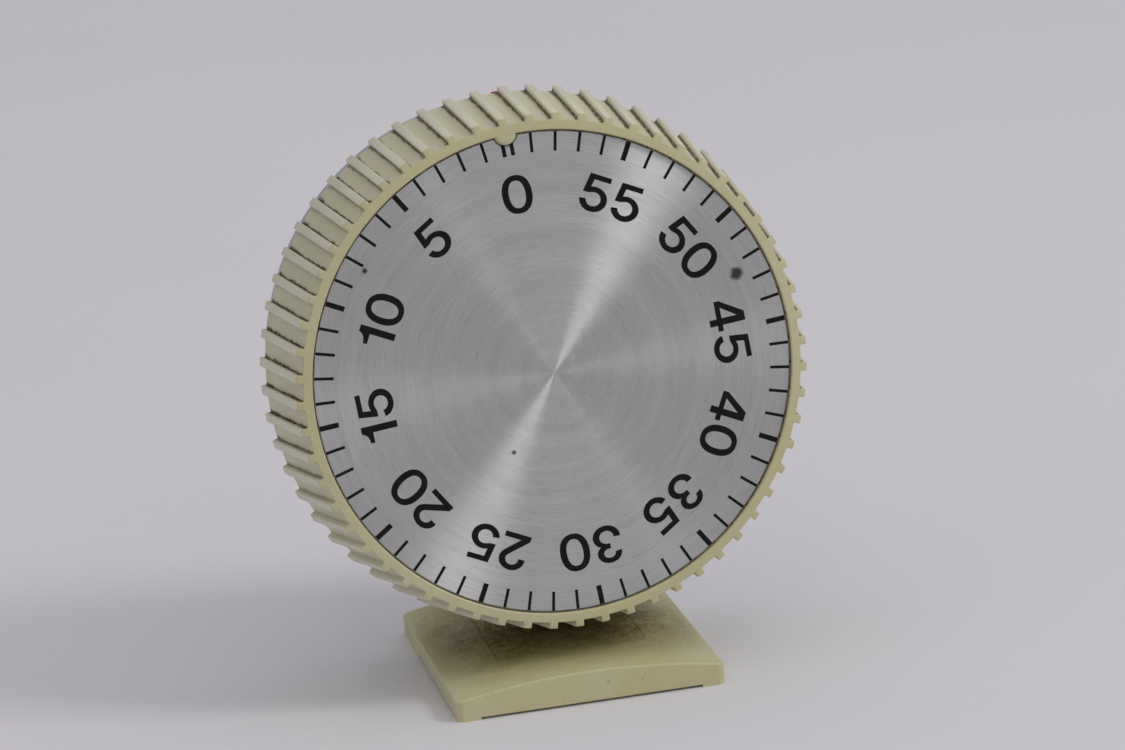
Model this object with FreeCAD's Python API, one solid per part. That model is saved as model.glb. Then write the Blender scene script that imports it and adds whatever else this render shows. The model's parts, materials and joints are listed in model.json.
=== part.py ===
import FreeCAD, Part
import math
import os

# Sixty-minute kitchen timer: a ribbed drum with a flat dial, on a square arched foot.
#
# Millimetres, +Z up, the dial faces -Y. The origin is the middle of the foot's underside.
# Everything round is drawn in the drum's own frame first: its axis is the line x = z = 0, and
# y is the depth behind the drum's front face. placed() then tips it back and lifts it up.
# Angles are counted counter-clockwise as the user sees the dial, from the right-hand side.

V = FreeCAD.Vector

# ---------------------------------------------------------------- driving sizes
# where the drum stands
DRUM_Y = -17.7
DRUM_Z = 59.6
DRUM_TILT = 5.6
REST_PAST_ZERO = 6.0
TRAVEL = 354.0

# shared by all pieces: how far fused shapes run into each other, and how far cuts overshoot
MERGE = 0.5
CUT_PAST = 1.0

# setting ring
RING_BORE_R = 44.0
RING_FRONT_R = 45.7
RING_REAR_R = 49.05
RING_DEPTH = 25.1
RING_WALL = 2.1
RIB_COUNT = 60
RIB_WIDTH = 1.5
RIB_HEIGHT = 1.2
RIB_END_CHAMFER = 0.6
LUG_R = 2.0
LUG_CIRCLE_R = 44.2
LUG_INSET = 0.4
WEB_THICK = 2.0
WEB_RIB_COUNT = 6
WEB_RIB_THICK = 1.6
WEB_RIB_HIGH = 1.8
BOSS_R = 9.5
BOSS_END = 10.5
POCKET_R = 7.0
POCKET_DEPTH = 4.0

# dial
DIAL_RECESS = 0.8
DIAL_THICK = 0.8
DIAL_EDGE_GAP = 0.25

# hub and main arbor
NUT_ACROSS = 8.0
NUT_THICK = 2.4
HUB_FLANGE_R = 6.5
HUB_FLANGE_THICK = 1.0
HUB_BARREL_R = 4.5
DRIVE_R = 2.5
DRIVE_ACROSS = 4.2
FRONT_JOURNAL_R = 3.0
REAR_JOURNAL_R = 2.5
ARBOR_BODY_R = 3.5
ARBOR_COLLAR_R = 4.2
ARBOR_COLLAR_THICK = 0.6
RUNNING_CLEARANCE = 0.05
HUB_PROUD = 0.5
DRIVE_SHORT = 0.4

# movement plates, drum depths of their front faces
FRONT_PLATE_AT = 12.0
BACK_PLATE_AT = 27.0
PLATE_THICK = 1.5
FRONT_PLATE_R = 40.0
BACK_PLATE_R = 42.0
BUSH_R = 5.0
BUSH_PROUD = 0.4
PILLAR_R = 2.0
PILLAR_CIRCLE_R = 37.0
PILLAR_ANGLES = (60.0, 128.0, 285.0, 345.0)
PILLAR_SCREW_R = 2.2
SCREW_HEAD_THICK = 1.2
PIVOT_R = 0.5
ARBOR_R = 1.0
ARBOR_END_PLAY = 0.15

# gear train: teeth, module
PRESSURE_ANGLE = 30.0
ADDENDUM = 0.8
DEDENDUM = 1.1
BACKLASH = 0.14
GREAT_TEETH, SECOND_PINION_TEETH, GREAT_MODULE = 60, 10, 0.6
SECOND_TEETH, THIRD_PINION_TEETH, SECOND_MODULE = 50, 10, 0.5
THIRD_TEETH, ESCAPE_PINION_TEETH, THIRD_MODULE = 48, 8, 0.4
SECOND_BEARING = 150.0
THIRD_BEARING = 230.0
ESCAPE_BEARING = 270.0
VERGE_BEARING = 300.0
WHEEL_THICK = 1.0
PINION_OVERHANG = 0.3
GREAT_AT = 15.0
GREAT_THICK = 1.5
SECOND_AT = 17.5
THIRD_AT = 19.5
ESCAPE_AT = 21.5
WHEEL_BOSS_R = 2.6
WHEEL_BOSS_WALL = 1.0
WHEEL_RIM = 1.2
WINDOW_COUNT = 5
WINDOW_SHARE = 0.8

# escapement
ESCAPE_R = 7.5
ESCAPE_ROOT_R = 5.6
ESCAPE_TEETH = 15
VERGE_DISTANCE = 11.0
PALLET_SPAN = 9.0
PALLET_BAR = 2.0
PALLET_DROP = 1.2
PALLET_THICK = 1.0
BALANCE_AT = 24.2
BALANCE_LENGTH = 14.0
BALANCE_WIDTH = 2.2
BALANCE_WEIGHT_R = 2.0

# mainspring
SPRING_AT = 19.5
SPRING_WIDTH = 5.0
SPRING_STRIP = 0.35
SPRING_TURNS = 6
SPRING_STEPS = 36
SPRING_OUTER_R = 13.6
SPRING_POST_R = 1.5
SPRING_END_SPACE = 1.0

# striking work
CAM_AT = 17.0
CAM_R = 6.0
CAM_NOTCH = 1.6
HAMMER_CIRCLE_R = 24.0
HAMMER_BEARING = 20.0
HAMMER_ARBOR_R = 1.2
HAMMER_ARM = 14.0
HAMMER_HEAD_R = 2.0
HAMMER_HEAD_LONG = 1.9
HAMMER_ARM_AT = 30.2
HAMMER_ARM_THICK = 1.0
HAMMER_ARM_WIDTH = 2.4
HAMMER_BOSS_WALL = 1.2
HAMMER_HEAD_CIRCLE_R = 31.6
TAIL_TIP_R = 7.2
TAIL_WIDTH = 1.6
GONG_R = 35.0
GONG_WALL = 1.0
GONG_AT = 31.8
GONG_DEPTH = 4.6
GONG_ROUND = 2.0
GONG_POST_R = 3.0
GONG_FLANGE_R = 6.0
GONG_FLANGE_THICK = 1.2
GONG_SCREW_R = 1.5
GONG_SCREW_HEAD_R = 3.0
GONG_SCREW_LONG = 5.0

# turning stop
STOP_CIRCLE_R = 30.0
STOP_PIN_R = 0.8
STOP_PIN_CLEARANCE = 0.6
STOP_BLOCK_WIDTH = 1.0
STOP_BLOCK_TALL = 3.0
STOP_LAP = 2.5
STOP_BEARING = 240.0

# rear case
CASE_WALL = 1.2
CASE_AT = 26.2
CASE_R = 48.75
CASE_BAND = 1.3
CASE_TAPER_TO = 33.0
CASE_TAPER_R = 47.9
CASE_BACK = 40.5
CASE_BACK_R = 42.0
CASE_SHOULDER = (46.3, 38.0)
COLLAR_R = 46.2
COLLAR_WALL = 1.0
COLLAR_REACH = 1.8
SPACER_R = 3.0
SPACER_CIRCLE_R = 38.5
SPACER_ANGLES = (30.0, 150.0, 270.0)
CASE_SCREW_R = 1.3
CASE_SCREW_HEAD_R = 2.4
SCREW_HOLE_CLEARANCE = 0.1
SOUND_SLOT_WIDTH = 2.4
SOUND_SLOT_PITCH = 6.0
SOUND_SLOT_COUNT = 5
SOUND_SLOT_SPAN_R = 22.0
INDEX_R = 1.0
INDEX_AT = 30.5
INDEX_TOP_R = 48.7
INDEX_FOOT_R = 46.6

# foot and neck
FOOT_WIDTH = 50.0
FOOT_DEPTH = 55.6
FOOT_EDGE_HIGH = 3.8
FOOT_RISE = 2.45
FOOT_CORNER_R = 1.4
FOOT_EDGE_ROUND = 0.35
RELIEF_DEEP = 0.5
PAD_WIDE = 4.4
REAR_PAD_LONG = 16.5
SEAT_HALF_WIDTH = 14.1
SEAT_FRONT_Y = -13.5
SEAT_REAR_Y = 24.0
SEAT_CORNER_R = 3.0
SEAT_FLOOR_Z = 2.0
SEAM = 0.12
NECK_HALF_WIDTH = 13.5
NECK_FRONT_Y = 3.45
NECK_REAR_Y = 21.5
NECK_SADDLE_GAP = 0.1
NECK_BLOCK_TOP_Z = 14.0
FOOT_SCREW_R = 1.5
FOOT_SCREW_HEAD_R = 3.0
FOOT_SCREW_HEAD_THICK = 0.9
FOOT_SCREW_HEAD_CLEARANCE = 0.2
FOOT_SCREW_TIP_Z = 4.6
FOOT_SCREW_PLACES = ((-8.0, -6.0), (8.0, -6.0), (-8.0, 16.0), (8.0, 16.0))
NECK_SCREW_R = 1.4
NECK_SCREW_HEAD_R = 2.6
NECK_SCREW_HEAD_THICK = 1.4
NECK_SCREW_HEAD_LIFT = 0.6
NECK_SCREW_AT = 32.0
NECK_SCREW_X = 8.0
NECK_SCREW_TIP_Z = -53.6

# ---------------------------------------------------------------- derived sizes
DIAL_BACK = DIAL_RECESS + DIAL_THICK
WEB_BACK = DIAL_BACK + WEB_THICK
ZERO_ANGLE = 90.0 + REST_PAST_ZERO
PLATE_BACK = BACK_PLATE_AT + PLATE_THICK
FRONT_PLATE_BACK = FRONT_PLATE_AT + PLATE_THICK
HUB_FLOOR = DIAL_BACK + POCKET_DEPTH
STOP_PIN_FRONT = WEB_BACK + WEB_RIB_HIGH + STOP_PIN_CLEARANCE
SPRING_BACK = SPRING_AT + SPRING_WIDTH
GONG_BACK = GONG_AT + GONG_DEPTH
CASE_FLOOR = CASE_BACK - CASE_WALL
HAMMER_ARM_BACK = HAMMER_ARM_AT + HAMMER_ARM_THICK


def polar(radius, degrees, start=(0.0, 0.0)):
    angle = math.radians(degrees)
    return (start[0] + radius * math.cos(angle), start[1] + radius * math.sin(angle))


MAIN = (0.0, 0.0)
SECOND = polar(GREAT_MODULE * (GREAT_TEETH + SECOND_PINION_TEETH) / 2, SECOND_BEARING)
THIRD = polar(SECOND_MODULE * (SECOND_TEETH + THIRD_PINION_TEETH) / 2, THIRD_BEARING, SECOND)
ESCAPE = polar(THIRD_MODULE * (THIRD_TEETH + ESCAPE_PINION_TEETH) / 2, ESCAPE_BEARING, THIRD)
VERGE = polar(VERGE_DISTANCE, VERGE_BEARING, ESCAPE)
HAMMER = polar(HAMMER_CIRCLE_R, HAMMER_BEARING)


# ---------------------------------------------------------------- helpers
def placed(shape):
    """Move a shape from the drum's frame to where the drum stands."""
    result = shape.copy()
    result.rotate(V(0, 0, 0), V(1, 0, 0), -DRUM_TILT)
    result.translate(V(0, DRUM_Y, DRUM_Z))
    return result


def rod(radius, front, back, centre=MAIN):
    """A cylinder along the drum's axis between two depths."""
    return Part.makeCylinder(radius, back - front, V(centre[0], front, centre[1]), V(0, 1, 0))


def bored(shape, radius, front, back, centre=MAIN):
    """Cut a round hole through a shape, past both of the depths given."""
    return shape.cut(rod(radius, front - CUT_PAST, back + CUT_PAST, centre))


def tube(radius, bore, front, back, centre=MAIN):
    return bored(rod(radius, front, back, centre), bore, front, back, centre)


def turned(outline):
    """Revolve an outline of (radius, depth) corners about the drum's axis."""
    corners = [V(radius, depth, 0) for radius, depth in outline]
    face = Part.Face(Part.makePolygon(corners + corners[:1]))
    return face.revolve(V(0, 0, 0), V(0, 1, 0), 360)


def plate(outline, front, thick, holes=()):
    """Extrude an outline of (x, z) corners, with round holes of (centre, radius)."""
    corners = [V(x, front, z) for x, z in outline]
    body = Part.Face(Part.makePolygon(corners + corners[:1])).extrude(V(0, thick, 0))
    for centre, radius in holes:
        body = bored(body, radius, front, front + thick, centre)
    return body


def bar(start, end, width, front, thick):
    """A straight flat bar from one (x, z) place to another."""
    length = math.dist(start, end)
    across = ((start[1] - end[1]) / length * width / 2, (end[0] - start[0]) / length * width / 2)
    outline = [
        (start[0] + across[0], start[1] + across[1]),
        (end[0] + across[0], end[1] + across[1]),
        (end[0] - across[0], end[1] - across[1]),
        (start[0] - across[0], start[1] - across[1]),
    ]
    return plate(outline, front, thick)


def turned_to(shape, degrees):
    """Turn a shape about the drum's axis, counter-clockwise as the user sees it."""
    result = shape.copy()
    result.rotate(V(0, 0, 0), V(0, -1, 0), degrees)
    return result


def upright_rod(radius, low, high, x, y):
    """A cylinder along Z between two heights."""
    return Part.makeCylinder(radius, high - low, V(x, y, low))


def rounded_block(x0, x1, y0, y1, low, high, corner):
    """A box whose four upright edges are rounded."""
    block = Part.makeBox(x1 - x0, y1 - y0, high - low, V(x0, y0, low))
    upright = [edge for edge in block.Edges if abs(edge.BoundBox.ZLength - (high - low)) < 1e-6]
    return block.makeFillet(corner, upright)


# ---------------------------------------------------------------- gears
def involute(angle):
    return math.tan(angle) - angle


def gear_outline(teeth, module, centre, first_tooth):
    """Corners of an involute gear with one tooth centred on the angle first_tooth."""
    pitch_r = module * teeth / 2
    base_r = pitch_r * math.cos(math.radians(PRESSURE_ANGLE))
    root_r = pitch_r - DEDENDUM * module
    tip_r = pitch_r + ADDENDUM * module
    half = math.pi / (2 * teeth) - BACKLASH / (4 * pitch_r) + involute(math.radians(PRESSURE_ANGLE))
    start_r = max(base_r, root_r)
    radii = [start_r + (tip_r - start_r) * step / 4 for step in range(5)]
    flank = [(root_r, half - involute(math.acos(base_r / start_r)))]
    for radius in radii:
        flank.append((radius, half - involute(math.acos(min(1.0, base_r / radius)))))
    if root_r >= base_r:
        flank = flank[1:]
    corners = []
    for tooth in range(teeth):
        middle = math.radians(first_tooth) + 2 * math.pi * tooth / teeth
        for radius, offset in flank:
            corners.append(polar(radius, math.degrees(middle - offset), centre))
        for radius, offset in reversed(flank):
            corners.append(polar(radius, math.degrees(middle + offset), centre))
    return corners


def meshing_tooth(driver_teeth, driver_tooth, teeth, bearing):
    """Angle of a driven gear's tooth, so that a gap faces the driver's nearest tooth."""
    pitch = 360.0 / driver_teeth
    offset = (driver_tooth - bearing) % pitch
    return bearing + 180.0 - offset * driver_teeth / teeth + 180.0 / teeth


def windows(centre, inner_r, outer_r):
    """Round lightening holes between a wheel's boss and its rim."""
    middle_r = (inner_r + outer_r) / 2
    room = min((outer_r - inner_r) / 2, middle_r * math.sin(math.pi / WINDOW_COUNT))
    places = [polar(middle_r, 360.0 * index / WINDOW_COUNT, centre) for index in range(WINDOW_COUNT)]
    return [(place, WINDOW_SHARE * room) for place in places]


def wheel(teeth, module, centre, first_tooth, front, thick, bore):
    """A spoked gear wheel with a bore for its arbor."""
    root_r = module * (teeth / 2 - DEDENDUM)
    boss_r = max(WHEEL_BOSS_R, bore + WHEEL_BOSS_WALL)
    holes = windows(centre, boss_r, root_r - WHEEL_RIM) + [(centre, bore)]
    return plate(gear_outline(teeth, module, centre, first_tooth), front, thick, holes)


def arbor(centre, pinion=None):
    """A thin arbor with a pivot at each end, and leaves cut on it when a pinion is given."""
    front = FRONT_PLATE_BACK + ARBOR_END_PLAY
    back = BACK_PLATE_AT - ARBOR_END_PLAY
    shape = rod(ARBOR_R, front, back, centre)
    shape = shape.fuse(rod(PIVOT_R, FRONT_PLATE_AT, PLATE_BACK, centre))
    if pinion is not None:
        shape = shape.fuse(pinion)
    return shape


GREAT_TOOTH = SECOND_BEARING
SECOND_PINION_TOOTH = meshing_tooth(GREAT_TEETH, GREAT_TOOTH, SECOND_PINION_TEETH, SECOND_BEARING)
SECOND_TOOTH = THIRD_BEARING
THIRD_PINION_TOOTH = meshing_tooth(SECOND_TEETH, SECOND_TOOTH, THIRD_PINION_TEETH, THIRD_BEARING)
THIRD_TOOTH = ESCAPE_BEARING
ESCAPE_PINION_TOOTH = meshing_tooth(THIRD_TEETH, THIRD_TOOTH, ESCAPE_PINION_TEETH, ESCAPE_BEARING)


# ---------------------------------------------------------------- drum
def setting_ring():
    """Ribbed rim, index lug, web and hub boss in one moulding."""
    outline = [
        (RING_BORE_R, 0),
        (RING_FRONT_R, 0),
        (RING_REAR_R, RING_DEPTH),
        (RING_REAR_R - RING_WALL, RING_DEPTH),
        (RING_FRONT_R - RING_WALL, WEB_BACK),
        (BOSS_R, WEB_BACK),
        (BOSS_R, BOSS_END),
        (HUB_BARREL_R, BOSS_END),
        (HUB_BARREL_R, HUB_FLOOR),
        (POCKET_R, HUB_FLOOR),
        (POCKET_R, DIAL_BACK),
        (RING_BORE_R, DIAL_BACK),
    ]
    ring = turned(outline)
    ring = ring.fuse([grip_rib(index) for index in range(RIB_COUNT)])
    for index in range(WEB_RIB_COUNT):
        ring = ring.fuse(web_rib(360.0 * index / WEB_RIB_COUNT))
    ring = ring.fuse([stop_block(), lug()])
    return ring.removeSplitter()


def lug():
    """Half-round lug at the zero mark, kept inside the ring's wall."""
    disc = rod(LUG_R, 0, DIAL_RECESS, polar(LUG_CIRCLE_R, ZERO_ANGLE))
    return disc.common(rod(RING_FRONT_R - LUG_INSET, 0, DIAL_RECESS))


def grip_rib(index):
    """One wedge of the grip. One rib lines up with the lug."""
    flare = (RING_REAR_R - RING_FRONT_R) / RING_DEPTH
    chamfer_at = RING_DEPTH - RIB_END_CHAMFER
    outline = [
        (RING_FRONT_R - MERGE, 0),
        (RING_FRONT_R + RIB_HEIGHT, 0),
        (RING_FRONT_R + flare * chamfer_at + RIB_HEIGHT, chamfer_at),
        (RING_REAR_R + RIB_HEIGHT - RIB_END_CHAMFER, RING_DEPTH),
        (RING_REAR_R - MERGE, RING_DEPTH),
    ]
    corners = [V(radius, depth, -RIB_WIDTH / 2) for radius, depth in outline]
    rib = Part.Face(Part.makePolygon(corners + corners[:1])).extrude(V(0, 0, RIB_WIDTH))
    return turned_to(rib, ZERO_ANGLE + 360.0 * index / RIB_COUNT)


def web_rib(degrees):
    """A stiffening fin behind the web."""
    inner = BOSS_R - MERGE
    outer = RING_FRONT_R - RING_WALL + MERGE
    corner = V(inner, WEB_BACK - MERGE, -WEB_RIB_THICK / 2)
    fin = Part.makeBox(outer - inner, WEB_RIB_HIGH + MERGE, WEB_RIB_THICK, corner)
    return turned_to(fin, degrees)


def stop_block():
    """The block that meets the stop pin at both ends of the travel."""
    half_gap = (360.0 - TRAVEL) / 2
    front = WEB_BACK - MERGE
    corner = V(STOP_CIRCLE_R - STOP_BLOCK_TALL / 2, front, -STOP_BLOCK_WIDTH / 2)
    block = Part.makeBox(STOP_BLOCK_TALL, STOP_PIN_FRONT + STOP_LAP - front, STOP_BLOCK_WIDTH, corner)
    return turned_to(block, STOP_BEARING - half_gap)


def dial_plate():
    """Flat aluminium disc that fills the ring's mouth."""
    return rod(RING_BORE_R - DIAL_EDGE_GAP, DIAL_RECESS, DIAL_BACK)


def drive_section(front, back):
    """The arbor's end: round with two flats."""
    flats = Part.makeBox(2 * DRIVE_R, back - front, DRIVE_ACROSS, V(-DRIVE_R, front, -DRIVE_ACROSS / 2))
    return rod(DRIVE_R, front, back).common(flats)


def hub_bush():
    """Brass bush that carries the moulding on the arbor's flats."""
    bush = rod(HUB_FLANGE_R, HUB_FLOOR - HUB_FLANGE_THICK, HUB_FLOOR)
    bush = bush.fuse(rod(HUB_BARREL_R, HUB_FLOOR, BOSS_END + HUB_PROUD))
    return bush.cut(drive_section(0, BOSS_END + CUT_PAST)).removeSplitter()


def hub_nut():
    """Six-sided nut that holds the bush's flange down."""
    back = HUB_FLOOR - HUB_FLANGE_THICK
    corner_r = NUT_ACROSS / 2 / math.cos(math.pi / 6)
    outline = [polar(corner_r, 60.0 * index) for index in range(6)]
    return plate(outline, back - NUT_THICK, NUT_THICK).cut(drive_section(0, back + CUT_PAST))


def main_arbor():
    """Stepped arbor through both plates, from the dial hub to the mainspring."""
    hub_back = BOSS_END + HUB_PROUD
    body_back = SPRING_BACK + SPRING_END_SPACE
    shape = drive_section(DIAL_BACK + DRIVE_SHORT, hub_back)
    shape = shape.fuse(rod(FRONT_JOURNAL_R, hub_back, GREAT_AT - ARBOR_COLLAR_THICK))
    shape = shape.fuse(rod(ARBOR_COLLAR_R, GREAT_AT - ARBOR_COLLAR_THICK, GREAT_AT))
    shape = shape.fuse(rod(ARBOR_BODY_R, GREAT_AT, body_back))
    shape = shape.fuse(rod(REAR_JOURNAL_R, body_back, PLATE_BACK))
    return shape.removeSplitter()


# ---------------------------------------------------------------- movement frame
def pivot_places():
    return [SECOND, THIRD, ESCAPE, VERGE]


def movement_plate(radius, front):
    """A round plate bored for the bush, the pivots and the hammer's arbor."""
    back = front + PLATE_THICK
    shape = tube(radius, BUSH_R, front, back)
    for place in pivot_places():
        shape = bored(shape, PIVOT_R + RUNNING_CLEARANCE, front, back, place)
    return bored(shape, HAMMER_ARBOR_R + RUNNING_CLEARANCE, front, back, HAMMER)


def front_plate():
    shape = movement_plate(FRONT_PLATE_R, FRONT_PLATE_AT)
    return bored(shape, STOP_PIN_R, FRONT_PLATE_AT, FRONT_PLATE_BACK, polar(STOP_CIRCLE_R, STOP_BEARING))


def back_plate():
    shape = movement_plate(BACK_PLATE_R, BACK_PLATE_AT)
    for degrees in SPACER_ANGLES:
        shape = bored(shape, CASE_SCREW_R, BACK_PLATE_AT, PLATE_BACK, polar(SPACER_CIRCLE_R, degrees))
    return shape


def front_bush():
    """Bearing of the main arbor's front journal, proud on the inside."""
    bore = FRONT_JOURNAL_R + RUNNING_CLEARANCE
    return tube(BUSH_R, bore, FRONT_PLATE_AT, FRONT_PLATE_BACK + BUSH_PROUD)


def back_bush():
    """Bearing of the main arbor's rear journal, proud on the inside."""
    bore = REAR_JOURNAL_R + RUNNING_CLEARANCE
    return tube(BUSH_R, bore, BACK_PLATE_AT - BUSH_PROUD, PLATE_BACK)


def pillars():
    """Four turned pillars that hold the plates apart."""
    places = [polar(PILLAR_CIRCLE_R, degrees) for degrees in PILLAR_ANGLES]
    return [rod(PILLAR_R, FRONT_PLATE_BACK, BACK_PLATE_AT, place) for place in places]


def pillar_screws():
    """Screw heads behind the back plate, one on each pillar."""
    places = [polar(PILLAR_CIRCLE_R, degrees) for degrees in PILLAR_ANGLES]
    return [rod(PILLAR_SCREW_R, PLATE_BACK, PLATE_BACK + SCREW_HEAD_THICK, place) for place in places]


def stop_pin():
    """Pin in the front plate that the ring's stop block comes up against."""
    return rod(STOP_PIN_R, STOP_PIN_FRONT, FRONT_PLATE_BACK, polar(STOP_CIRCLE_R, STOP_BEARING))


# ---------------------------------------------------------------- going train
def great_wheel():
    return wheel(GREAT_TEETH, GREAT_MODULE, MAIN, GREAT_TOOTH, GREAT_AT, GREAT_THICK, ARBOR_BODY_R)


def pinion(teeth, module, centre, first_tooth, partner_at, partner_thick):
    """Pinion leaves, a little longer than the wheel that drives them is thick."""
    outline = gear_outline(teeth, module, centre, first_tooth)
    return plate(outline, partner_at - PINION_OVERHANG, partner_thick + 2 * PINION_OVERHANG)


def second_arbor():
    leaves = pinion(SECOND_PINION_TEETH, GREAT_MODULE, SECOND, SECOND_PINION_TOOTH,
                    GREAT_AT, GREAT_THICK)
    return arbor(SECOND, leaves)


def second_wheel():
    return wheel(SECOND_TEETH, SECOND_MODULE, SECOND, SECOND_TOOTH, SECOND_AT, WHEEL_THICK, ARBOR_R)


def third_arbor():
    leaves = pinion(THIRD_PINION_TEETH, SECOND_MODULE, THIRD, THIRD_PINION_TOOTH, SECOND_AT, WHEEL_THICK)
    return arbor(THIRD, leaves)


def third_wheel():
    return wheel(THIRD_TEETH, THIRD_MODULE, THIRD, THIRD_TOOTH, THIRD_AT, WHEEL_THICK, ARBOR_R)


def escape_arbor():
    leaves = pinion(ESCAPE_PINION_TEETH, THIRD_MODULE, ESCAPE, ESCAPE_PINION_TOOTH,
                    THIRD_AT, WHEEL_THICK)
    return arbor(ESCAPE, leaves)


def escape_wheel():
    """Ratchet-shaped teeth, leaning the way the wheel turns."""
    outline = []
    pitch = 360.0 / ESCAPE_TEETH
    for tooth in range(ESCAPE_TEETH):
        outline.append(polar(ESCAPE_R, tooth * pitch, ESCAPE))
        outline.append(polar(ESCAPE_ROOT_R, (tooth + 0.12) * pitch, ESCAPE))
        outline.append(polar(ESCAPE_ROOT_R, (tooth + 0.55) * pitch, ESCAPE))
    return plate(outline, ESCAPE_AT, WHEEL_THICK, [(ESCAPE, ARBOR_R)])


def verge_arbor():
    return arbor(VERGE)


def pallet_lever():
    """Bar with two pallets that rocks over the escape wheel."""
    towards = VERGE_BEARING + 180.0
    along = VERGE_BEARING + 90.0
    left, right = polar(PALLET_SPAN / 2, along, VERGE), polar(-PALLET_SPAN / 2, along, VERGE)
    shape = bar(left, right, PALLET_BAR, ESCAPE_AT, WHEEL_THICK)
    shape = shape.fuse(rod(PALLET_BAR, ESCAPE_AT, ESCAPE_AT + WHEEL_THICK, VERGE))
    for side in (1, -1):
        heel = polar(side * (PALLET_SPAN - PALLET_THICK) / 2, along, VERGE)
        tip = polar(PALLET_BAR / 2 + PALLET_DROP, towards, heel)
        shape = shape.fuse(bar(heel, tip, PALLET_THICK, ESCAPE_AT, WHEEL_THICK))
    return bored(shape, ARBOR_R, ESCAPE_AT, ESCAPE_AT + WHEEL_THICK, VERGE).removeSplitter()


def balance_bar():
    """Weighted bar that sets the beat."""
    along = VERGE_BEARING + 90.0
    left, right = polar(BALANCE_LENGTH / 2, along, VERGE), polar(-BALANCE_LENGTH / 2, along, VERGE)
    shape = bar(left, right, BALANCE_WIDTH, BALANCE_AT, WHEEL_THICK)
    for end in (left, right):
        shape = shape.fuse(rod(BALANCE_WEIGHT_R, BALANCE_AT, BALANCE_AT + WHEEL_THICK, end))
    return bored(shape, ARBOR_R, BALANCE_AT, BALANCE_AT + WHEEL_THICK, VERGE).removeSplitter()


def mainspring():
    """Flat strip wound about the arbor and hooked on a post."""
    inner_r = ARBOR_BODY_R + SPRING_STRIP / 2
    steps = SPRING_TURNS * SPRING_STEPS
    middle = []
    for step in range(steps + 1):
        share = step / steps
        radius = inner_r + (SPRING_OUTER_R - inner_r) * share
        middle.append((radius, 360.0 * SPRING_TURNS * share))
    outer = [polar(radius + SPRING_STRIP / 2, degrees) for radius, degrees in middle]
    inner = [polar(radius - SPRING_STRIP / 2, degrees) for radius, degrees in middle]
    strip = plate(outer + inner[::-1], SPRING_AT, SPRING_WIDTH)
    return bored(strip, ARBOR_BODY_R + RUNNING_CLEARANCE, SPRING_AT, SPRING_BACK)


def spring_post():
    """Post on the back plate that takes the mainspring's outer end."""
    place = (SPRING_OUTER_R + SPRING_STRIP / 2 + SPRING_POST_R, 0.0)
    return rod(SPRING_POST_R, SPRING_AT, BACK_PLATE_AT, place)


# ---------------------------------------------------------------- striking work
def strike_cam():
    """Disc with one notch that lets the hammer drop at zero."""
    disc = tube(CAM_R, ARBOR_BODY_R, CAM_AT, CAM_AT + WHEEL_THICK)
    corner = V(CAM_R - CAM_NOTCH, CAM_AT - CUT_PAST, 0)
    notch = Part.makeBox(CAM_NOTCH + CUT_PAST, WHEEL_THICK + 2 * CUT_PAST, CAM_NOTCH, corner)
    return disc.cut(turned_to(notch, HAMMER_BEARING + REST_PAST_ZERO))


def hammer_head_place():
    """Where the head rests, just inside the gong's rim."""
    reach, arm, pivot = HAMMER_HEAD_CIRCLE_R, HAMMER_ARM, HAMMER_CIRCLE_R
    turn = math.acos((reach ** 2 - arm ** 2 - pivot ** 2) / (2 * arm * pivot))
    return polar(arm, HAMMER_BEARING - math.degrees(turn), HAMMER)


def hammer_arbor():
    """Arbor that passes through both plates and carries the hammer and its tail."""
    return rod(HAMMER_ARBOR_R, FRONT_PLATE_AT, HAMMER_ARM_BACK, HAMMER)


def hammer():
    """Arm and head behind the back plate."""
    head = hammer_head_place()
    shape = bar(HAMMER, head, HAMMER_ARM_WIDTH, HAMMER_ARM_AT, HAMMER_ARM_THICK)
    shape = shape.fuse(rod(HAMMER_ARBOR_R + HAMMER_BOSS_WALL, HAMMER_ARM_AT, HAMMER_ARM_BACK, HAMMER))
    shape = shape.fuse(rod(HAMMER_HEAD_R, HAMMER_ARM_AT, HAMMER_ARM_BACK + HAMMER_HEAD_LONG, head))
    return bored(shape, HAMMER_ARBOR_R, HAMMER_ARM_AT, HAMMER_ARM_BACK, HAMMER).removeSplitter()


def hammer_tail():
    """Lever between the plates that follows the cam."""
    tip = polar(TAIL_TIP_R, HAMMER_BEARING)
    back = CAM_AT + WHEEL_THICK
    shape = bar(HAMMER, tip, TAIL_WIDTH, CAM_AT, WHEEL_THICK)
    shape = shape.fuse(rod(HAMMER_ARBOR_R + HAMMER_BOSS_WALL, CAM_AT, back, HAMMER))
    return bored(shape, HAMMER_ARBOR_R, CAM_AT, back, HAMMER).removeSplitter()


def gong_post():
    """Flanged post on the back plate that carries the gong."""
    shape = rod(GONG_FLANGE_R, PLATE_BACK, PLATE_BACK + GONG_FLANGE_THICK)
    shape = shape.fuse(rod(GONG_POST_R, PLATE_BACK, GONG_BACK - GONG_WALL))
    return shape.cut(gong_screw()).removeSplitter()


def gong():
    """Shallow steel dish that the hammer strikes from inside."""
    inner_r = GONG_R - GONG_WALL
    outer_round = GONG_ROUND + GONG_WALL / 2
    outline = [
        (GONG_SCREW_R, GONG_BACK - GONG_WALL),
        (inner_r - GONG_ROUND, GONG_BACK - GONG_WALL),
        (inner_r, GONG_BACK - GONG_WALL - GONG_ROUND),
        (inner_r, GONG_AT),
        (GONG_R, GONG_AT),
        (GONG_R, GONG_BACK - outer_round),
        (GONG_R - outer_round, GONG_BACK),
        (GONG_SCREW_R, GONG_BACK),
    ]
    return turned(outline)


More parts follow.
